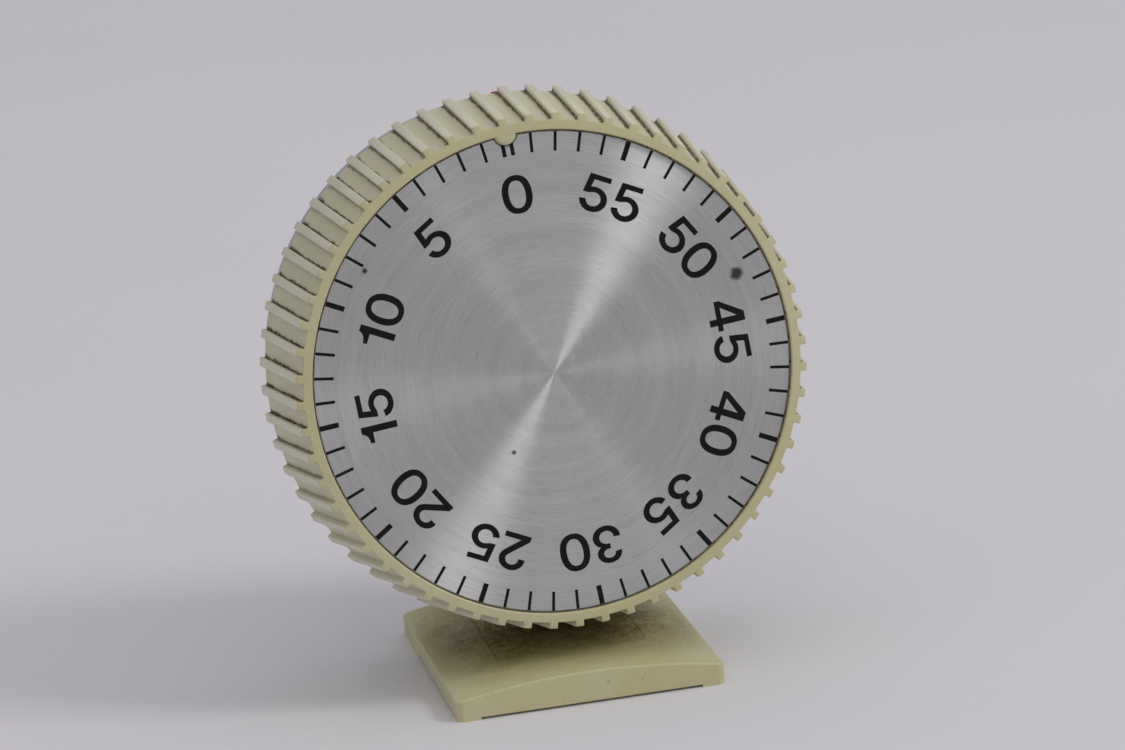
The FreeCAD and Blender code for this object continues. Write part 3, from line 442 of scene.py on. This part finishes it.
# ---------------------------------------------------------------- materials
class Paint:
    """A material in the making: short calls that add nodes and join them."""

    def __init__(self, name):
        self.material = bpy.data.materials.new(name)
        self.material.use_nodes = True
        self.tree = self.material.node_tree
        self.shader = self.tree.nodes["Principled BSDF"]

    def node(self, kind, values=(), **settings):
        """Add a node, set its options, and feed its inputs by name or number."""
        made = self.tree.nodes.new("ShaderNode" + kind)
        for option, value in settings.items():
            setattr(made, option, value)
        for key, value in dict(values).items():
            self.feed(made.inputs[key], value)
        return made.outputs[0]

    def feed(self, socket, value):
        if isinstance(value, bpy.types.NodeSocket):
            self.tree.links.new(value, socket)
        else:
            socket.default_value = value

    def surface(self, **values):
        """Feed the shader: base_color becomes Base Color, and so on."""
        for key, value in values.items():
            self.feed(self.shader.inputs[key.replace("_", " ").title().replace("Ior", "IOR")], value)

    def place(self):
        return self.node("TexCoord").node.outputs["Object"]

    def drum_place(self):
        """Object place in the drum's frame, in metres."""
        turned = DRUM.to_euler()
        return self.node("Mapping", {"Vector": self.place(), "Location": DRUM.translation,
                                     "Rotation": turned}, vector_type="TEXTURE")

    def noise(self, place, scale, detail=4.0, rough=0.5):
        return self.node("TexNoise", {"Vector": place, "Scale": scale, "Detail": detail,
                                      "Roughness": rough})

    def math(self, operation, first, second=0.0):
        return self.node("Math", {0: first, 1: second}, operation=operation)

    def times(self, first, *others):
        """All values multiplied."""
        for other in others:
            first = self.math("MULTIPLY", first, other)
        return first

    def most(self, first, second):
        return self.math("MAXIMUM", first, second)

    def length(self, first, second):
        """Length of the long side of a right-angled triangle."""
        return self.math("SQRT", self.math("ADD", self.times(first, first), self.times(second, second)))

    def between(self, value, low, high, out_low=0.0, out_high=1.0):
        """Value rescaled from one range to another, and kept inside it."""
        return self.node("MapRange", {0: value, 1: low, 2: high, 3: out_low, 4: out_high})

    def mix(self, share, first, second):
        made = self.node("Mix", {0: share, 6: first, 7: second}, data_type="RGBA")
        return made.node.outputs[2]

    def bump(self, height, strength, distance):
        made = self.node("Bump", {"Height": height, "Strength": strength, "Distance": distance})
        self.surface(normal=made)


def rgb(red, green, blue):
    """A colour given as screen values from 0 to 255."""
    values = [value / 255 for value in (red, green, blue)]
    linear = [value / 12.92 if value < 0.04 else ((value + 0.055) / 1.055) ** 2.4 for value in values]
    return (*linear, 1)


def cream_plastic(name, dirt_and_shade_of, dirt_and_shade_tone, speck_amount):
    """Aged cream moulding: slow yellowing, worn pale parts, fine orange peel, brown grime mixed with painted
    shade, and specks.
    """
    paint = Paint(name)
    place = paint.place()
    dirt_and_shade, worn = dirt_and_shade_of(paint, place)
    aged = paint.between(paint.noise(place, 22, 3), 0.35, 0.65)
    colour = paint.mix(aged, rgb(209, 205, 165), rgb(202, 196, 149))
    mottle = paint.between(paint.noise(place, 420, 4), 0.3, 0.75)
    colour = paint.mix(paint.times(mottle, 0.22), colour, rgb(190, 183, 142))
    colour = paint.mix(worn, colour, rgb(225, 223, 203))
    specks = paint.between(paint.noise(place, 700, 2, 0.5), 0.74, 0.8)
    dirt_and_shade = paint.most(dirt_and_shade, paint.times(specks, speck_amount))
    # dirt together with painted shade, in the tone that is passed in
    colour = paint.mix(dirt_and_shade, colour, dirt_and_shade_tone)
    rough = paint.between(paint.noise(place, 160, 3), 0.3, 0.7, 0.36, 0.5)
    rough = paint.math("ADD", rough, paint.times(dirt_and_shade, 0.3))
    paint.surface(base_color=colour, roughness=rough, ior=1.5)
    paint.bump(paint.noise(place, 1800, 3), 0.12, 0.08 * MM)
    return paint.material


def groove_dirt(paint, place):
    """Dirt and painted shade in the corners beside the ribs, and wear on the outside of the ring."""
    across, depth, up = paint.node("SeparateXYZ", {0: paint.drum_place()}).node.outputs
    angle = paint.math("ARCTAN2", up, across)
    pitch = math.tau / MINUTES
    from_zero = paint.math("SUBTRACT", angle, math.radians(ZERO_ANGLE))
    along = paint.math("FRACT", paint.math("DIVIDE", from_zero, pitch))
    pitch_mm = pitch * (RING_FRONT_R + RING_REAR_R) / 2
    half_rib = RIB_WIDTH / 2 / pitch_mm
    flare = (RING_REAR_R - RING_FRONT_R) / RING_DEPTH
    groove_r = paint.math("ADD", paint.times(depth, flare), RING_FRONT_R * MM)
    rise = paint.math("SUBTRACT", paint.length(across, up), groove_r)

    def turning(start, end, before, after):
        """Weight that changes between two angles round the ring."""
        return paint.between(angle, math.radians(start), math.radians(end), before, after)

    def beside(gap, weight):
        """Dirt and painted shade at a gap, in millimetres, from one side of a rib."""
        near = paint.between(paint.math("DIVIDE", gap, width), 0.4, 1.0, 1.0, 0.0)
        return paint.times(near, weight, paint.math("GREATER_THAN", gap, -0.12))

    # a narrow line that widens in blotches and at its ends
    blotches = paint.between(paint.noise(place, 240, 4, 0.65), 0.36, 0.7, 0.2, 0.85)
    front_end = paint.between(depth, 0.8 * MM, 3.0 * MM, 0.25, 0.0)
    rear_end = paint.between(depth, 20.0 * MM, 24.6 * MM, 0.0, 0.4)
    width = paint.math("ADD", blotches, paint.math("ADD", front_end, rear_end))

    # painted shade and dirt lie beside the side of a rib that faces up and, on top, beside the side that faces
    # left, which is the shaded side;
    # there is little of either underneath
    upper_side = paint.most(turning(105, 130, 0.1, 1.0), turning(-150, -175, 0.1, 1.0))
    left_side = paint.times(turning(115, 140, 0.9, 0.2), turning(-75, -45, 0.25, 1.0))
    left_gap = paint.times(paint.math("SUBTRACT", along, half_rib), pitch_mm)
    right_gap = paint.times(paint.math("SUBTRACT", 1 - half_rib, along), pitch_mm)
    dirt_and_shade = paint.most(beside(left_gap, left_side), beside(right_gap, upper_side))
    broken = paint.between(paint.noise(place, 1000, 3, 0.6), 0.25, 0.5, 0.3, 1.0)

    # rusty crumbs lying in the grooves
    crumbs = paint.between(paint.noise(place, 1300, 3, 0.7), 0.66, 0.72, 0.0, 0.7)
    where = paint.between(paint.noise(place, 70, 3, 0.6), 0.52, 0.62)

    behind_face = paint.between(depth, 0.6 * MM, 1.2 * MM)
    low = paint.between(rise, 0.35 * MM, 0.75 * MM, 1.0, 0.0)
    dirt_and_shade = paint.times(paint.most(paint.times(dirt_and_shade, broken), paint.times(crumbs, where)),
                       behind_face, low)
    worn = paint.times(behind_face, paint.between(rise, 0.0, 0.9 * MM, 0.45, 0.8))
    return dirt_and_shade, worn


def foot_dirt(paint, place):
    """Brown stain with painted shade from the drum on the foot's top round the neck, thinning outwards into
    specks.
    """
    across, along, height = paint.node("SeparateXYZ", {0: place}).node.outputs

    def outside(value, middle, half):
        """Distance past the stain's patch in one direction."""
        apart = paint.math("ABSOLUTE", paint.math("SUBTRACT", value, middle * MM))
        return paint.most(paint.math("SUBTRACT", apart, half * MM), 0.0)

    away = paint.length(outside(across, 0.0, STAIN_SHADE_HALF_WIDTH),
                        outside(along, STAIN_SHADE_MIDDLE_Y, STAIN_SHADE_HALF_LENGTH))
    close = paint.between(away, 0.0, STAIN_SHADE_SPREAD * MM, 1.5, 0.0)
    cloud = paint.between(paint.noise(place, 130, 6, 0.68), 0.26, 0.6, 0.3, 1.0)
    grains = paint.between(paint.noise(place, 1300, 4, 0.65), 0.4, 0.62, 0.6, 1.0)
    specks = paint.between(paint.noise(place, 1500, 2, 0.5), 0.66, 0.74, 0.0, 0.7)
    specks = paint.times(specks, paint.between(away, 4 * MM, 30 * MM, 1.0, 0.25))
    on_top = paint.between(height, STAIN_SHADE_START_Z[0] * MM, STAIN_SHADE_START_Z[1] * MM)
    not_high = paint.between(height, STAIN_SHADE_FADE_Z[0] * MM, STAIN_SHADE_FADE_Z[1] * MM, 1.0, 0.25)
    dirt_and_shade = paint.most(paint.times(close, cloud, grains, 0.85), specks)
    worn = paint.between(paint.noise(place, 60, 3), 0.5, 0.7, 0.0, 0.25)
    return paint.times(dirt_and_shade, on_top, not_high), worn


def brushed_dial():
    """Circular brushed aluminium with faint rings, hairlines and small stains, and painted shade mixed with grime
    along its edge and round the lug.
    """
    paint = Paint("circular brushed aluminium")
    spot = paint.drum_place()
    across, _, up = paint.node("SeparateXYZ", {0: spot}).node.outputs
    flat = paint.node("CombineXYZ", {0: across, 2: up})
    radius = paint.node("VectorMath", {0: flat}, operation="LENGTH").node.outputs["Value"]
    heading = paint.node("VectorMath", {0: flat}, operation="NORMALIZE")
    round_it = paint.node("SeparateXYZ", {0: heading}).node.outputs

    def from_place(place):
        """Distance from a place on the dial."""
        gap = paint.node("VectorMath", {0: flat, 1: tuple(place)}, operation="DISTANCE")
        return gap.node.outputs["Value"]

    def rings(across, around):
        """Noise that changes quickly across the radius and slowly round the dial."""
        vector = paint.node("CombineXYZ", {0: paint.times(radius, across),
                                           1: paint.times(round_it[0], around),
                                           2: paint.times(round_it[2], around)})
        return paint.noise(vector, 1.0, 3, 0.6)

    def stain(x, z, size):
        """Soft spot round a place on the dial, in millimetres."""
        gap = from_place(Vector((x, 0, z)) * MM)
        ragged = paint.times(paint.noise(spot, 700, 3), size * MM)
        return paint.between(paint.math("SUBTRACT", gap, ragged), 0.0, size * MM * 0.6, 1.0, 0.0)

    fine = rings(7000, 7)
    hair = rings(2600, 2.5)
    bands = rings(420, 0.3)
    cloud = paint.noise(spot, 26, 4)
    tone = paint.mix(paint.between(bands, 0.3, 0.7), rgb(204, 204, 203), rgb(215, 215, 214))
    tone = paint.mix(paint.between(cloud, 0.55, 0.75, 0, 0.35), tone, rgb(190, 186, 180))
    tone = paint.mix(paint.between(hair, 0.56, 0.75, 0, 0.5), tone, rgb(232, 232, 232))
    tone = paint.mix(paint.between(fine, 0.46, 0.25, 0, 0.6), tone, rgb(156, 156, 156))
    spots = stain(*DIAL_SPOTS[0])
    for place_and_size in DIAL_SPOTS[1:]:
        spots = paint.most(spots, stain(*place_and_size))
    tone = paint.mix(paint.times(spots, 0.85), tone, rgb(52, 46, 40))

    # painted shade in the gap along the dial's edge and a painted shadow round the lug, both mixed with dirt
    ragged = paint.times(paint.noise(spot, 500, 4, 0.6), 0.5 * MM)
    edge = paint.between(paint.math("ADD", radius, ragged), DIAL_R * MM, (DIAL_R + 0.3) * MM, 0.0, 0.8)
    from_lug = from_place(polar(LUG_CIRCLE_R, ZERO_ANGLE) * MM)
    lug_shadow_and_dirt = paint.between(from_lug, (LUG_R + 0.1) * MM, (LUG_R + 0.5) * MM, 0.85, 0.0)
    # the dark brown paints the gap's shade and the lug's shadow, with some dirt
    tone = paint.mix(paint.most(edge, lug_shadow_and_dirt), tone, rgb(62, 52, 38))
    rough = paint.between(fine, 0.25, 0.75, 0.33, 0.38)
    rough = paint.math("ADD", rough, paint.times(spots, 0.15))
    outwards = paint.node("Tangent", direction_type="UV_MAP", uv_map="polar")
    paint.surface(base_color=tone, metallic=1.0, roughness=rough, anisotropic=1.0, tangent=outwards)
    paint.bump(paint.math("ADD", fine, hair), 0.03, 0.02 * MM)
    return paint.material


def brushed_metal(name, tone, dark, rough_low, rough_high, metallic=1.0):
    """Rolled or turned metal: cloudy tarnish, fine grain and uneven gloss."""
    paint = Paint(name)
    place = paint.place()
    stretched = paint.node("Mapping", {"Vector": place, "Scale": (1, 1, 14)})
    grain = paint.noise(stretched, 260, 4, 0.6)
    cloud = paint.between(paint.noise(place, 60, 4, 0.6), 0.4, 0.68)
    colour = paint.mix(paint.times(cloud, 0.6), tone, dark)
    colour = paint.mix(paint.between(grain, 0.4, 0.7, 0, 0.2), colour, dark)
    rough = paint.between(grain, 0.3, 0.7, rough_low, rough_high)
    paint.surface(base_color=colour, metallic=metallic, roughness=rough)
    paint.bump(grain, 0.15, 0.04 * MM)
    return paint.material


def printed_ink():
    """Black screen ink, a little worn through."""
    paint = Paint("black dial ink")
    place = paint.place()
    worn = paint.between(paint.noise(place, 1500, 4, 0.6), 0.62, 0.8, 0, 0.25)
    paint.surface(base_color=paint.mix(worn, rgb(5, 5, 8), rgb(46, 46, 50)),
                  roughness=paint.between(paint.noise(place, 300), 0.3, 0.7, 0.5, 0.62),
                  specular_ior_level=0.25)
    paint.bump(paint.noise(place, 2500), 0.1, 0.02 * MM)
    return paint.material


def red_paint():
    paint = Paint("red index paint")
    place = paint.place()
    chips = paint.between(paint.noise(place, 1400, 4, 0.6), 0.6, 0.72)
    paint.surface(base_color=paint.mix(chips, rgb(176, 38, 34), rgb(120, 30, 28)),
                  roughness=paint.between(paint.noise(place, 500), 0.3, 0.7, 0.3, 0.5))
    paint.bump(paint.noise(place, 1600), 0.2, 0.05 * MM)
    return paint.material


def backdrop_paper():
    paint = Paint("pale backdrop paper")
    place = paint.place()
    soft = paint.between(paint.noise(place, 3, 3), 0.3, 0.7)
    paint.surface(base_color=paint.mix(soft, rgb(224, 222, 227), rgb(228, 226, 231)), roughness=0.9)
    paint.bump(paint.noise(place, 900), 0.05, 0.1 * MM)
    return paint.material


def finish_cad_nodes():
    """Give every CAD node that stays in view the material of its slot."""
    # the foot's brown tone paints a stain together with the shade under the drum
    cream = cream_plastic("cream foot moulding", foot_dirt, rgb(116, 92, 36), 0.5)
    brass = brushed_metal("rolled brass", rgb(214, 176, 96), rgb(150, 112, 52), 0.24, 0.4)
    steel = brushed_metal("turned steel", rgb(176, 176, 180), rgb(120, 118, 116), 0.22, 0.38)
    blued = brushed_metal("blued spring steel", rgb(58, 66, 92), rgb(36, 38, 50), 0.18, 0.32)
    nickel = brushed_metal("nickel plated gong", rgb(206, 204, 198), rgb(150, 146, 138), 0.12, 0.24)
    case = brushed_metal("satin case metal", rgb(206, 210, 222), rgb(176, 178, 186), 0.4, 0.55)
    by_slot = {"cream_plastic": cream, "brass": brass, "plain_steel": steel, "spring_steel": blued,
               "gong_steel": nickel, "case_metal": case, "red_plastic": red_paint(),
               "brushed_dial": steel}
    for part in frame["record"]["subparts"]:
        data = NODES[part["node"]].data
        data.materials.clear()
        data.materials.append(by_slot[part["material_slot"]])


# ---------------------------------------------------------------- floor, light and camera
def floor():
    mesh = bmesh.new()
    bmesh.ops.create_grid(mesh, x_segments=8, y_segments=8, size=4.0)
    data = bpy.data.meshes.new("floor")
    mesh.to_mesh(data)
    mesh.free()
    piece = bpy.data.objects.new("floor", data)
    bpy.context.scene.collection.objects.link(piece)
    data.materials.append(backdrop_paper())


DIAL_CENTRE = DRUM.translation


def area_light(name, heading, distance, size, power, tint):
    """A soft square lamp that faces the dial from the given heading."""
    lamp = bpy.data.lights.new(name, "AREA")
    lamp.shape = "RECTANGLE"
    lamp.size, lamp.size_y = size
    lamp.energy = power
    lamp.color = tint
    holder = bpy.data.objects.new(name, lamp)
    heading = Vector(heading).normalized()
    holder.location = DIAL_CENTRE + heading * distance
    holder.rotation_euler = (-heading).to_track_quat("-Z", "Y").to_euler()
    bpy.context.scene.collection.objects.link(holder)


# the sky brightens from the first height of view to the second, from the third value to the fourth
SKY_RANGE = (-0.1, 0.75, 0.25, 0.45)

# name, heading from the dial, distance, width and height, power, colour
LAMPS = (
    ("window", (0.665, -0.389, 0.638), 3.0, (0.75, 0.9), 21, (1, 0.995, 0.985)),
    ("far window", (-0.22, -0.67, 0.71), 3.0, (0.3, 0.3), 1.3, (1, 1, 1)),
    ("ceiling", (0.15, -0.1, 1.0), 2.4, (4.5, 4.5), 18, (0.99, 0.985, 1)),
)


def lights():
    """A sky that is brighter overhead, and the lamps."""
    scene = bpy.context.scene
    scene.world = bpy.data.worlds.new("studio")
    scene.world.use_nodes = True
    sky = scene.world.node_tree.nodes["Background"]
    sky.inputs["Color"].default_value = (0.995, 0.985, 1.0, 1)
    nodes = scene.world.node_tree.nodes
    links = scene.world.node_tree.links
    heading = nodes.new("ShaderNodeTexCoord")
    apart = nodes.new("ShaderNodeSeparateXYZ")
    links.new(heading.outputs["Generated"], apart.inputs[0])
    brightness = nodes.new("ShaderNodeMapRange")
    for socket, value in enumerate(SKY_RANGE, 1):
        brightness.inputs[socket].default_value = value
    links.new(apart.outputs["Z"], brightness.inputs[0])
    links.new(brightness.outputs[0], sky.inputs["Strength"])
    for lamp in LAMPS:
        area_light(*lamp)


CAMERA_DISTANCE = 0.7432
CAMERA_AZIMUTH = 11.08
CAMERA_ELEVATION = 14.99
CAMERA_ROLL = -4.67
CAMERA_LENS = 132.3
CAMERA_AIM_OFFSET = Vector((1.23, -0.35, -0.36)) * MM


def camera():
    """Long lens, a little above the dial and to its left, rolled slightly."""
    lens = bpy.data.cameras.new("camera")
    lens.lens = CAMERA_LENS
    lens.sensor_width = 36
    lens.clip_start = 0.01
    lens.dof.use_dof = False
    holder = bpy.data.objects.new("camera", lens)
    azimuth = math.radians(CAMERA_AZIMUTH)
    elevation = math.radians(CAMERA_ELEVATION)
    heading = Vector((math.sin(azimuth) * math.cos(elevation), math.cos(azimuth) * math.cos(elevation),
                      -math.sin(elevation)))
    holder.location = DIAL_CENTRE + CAMERA_AIM_OFFSET - heading * CAMERA_DISTANCE
    level = heading.to_track_quat("-Z", "Y").to_matrix()
    rolled = level @ Matrix.Rotation(math.radians(CAMERA_ROLL), 3, "Z")
    holder.rotation_euler = rolled.to_euler()
    bpy.context.scene.collection.objects.link(holder)
    bpy.context.scene.camera = holder


# ---------------------------------------------------------------- build
bpy.context.scene.view_settings.view_transform = "Standard"
finish_cad_nodes()
# the ring's dark brown tone paints dirt together with the shade in the corners beside the ribs
setting_ring(cream_plastic("cream ring moulding", groove_dirt, rgb(76, 58, 36), 0.3))
dial_disc(brushed_dial())
ink = printed_ink()
minute_marks(ink)
numerals(ink)
floor()
lights()
camera()
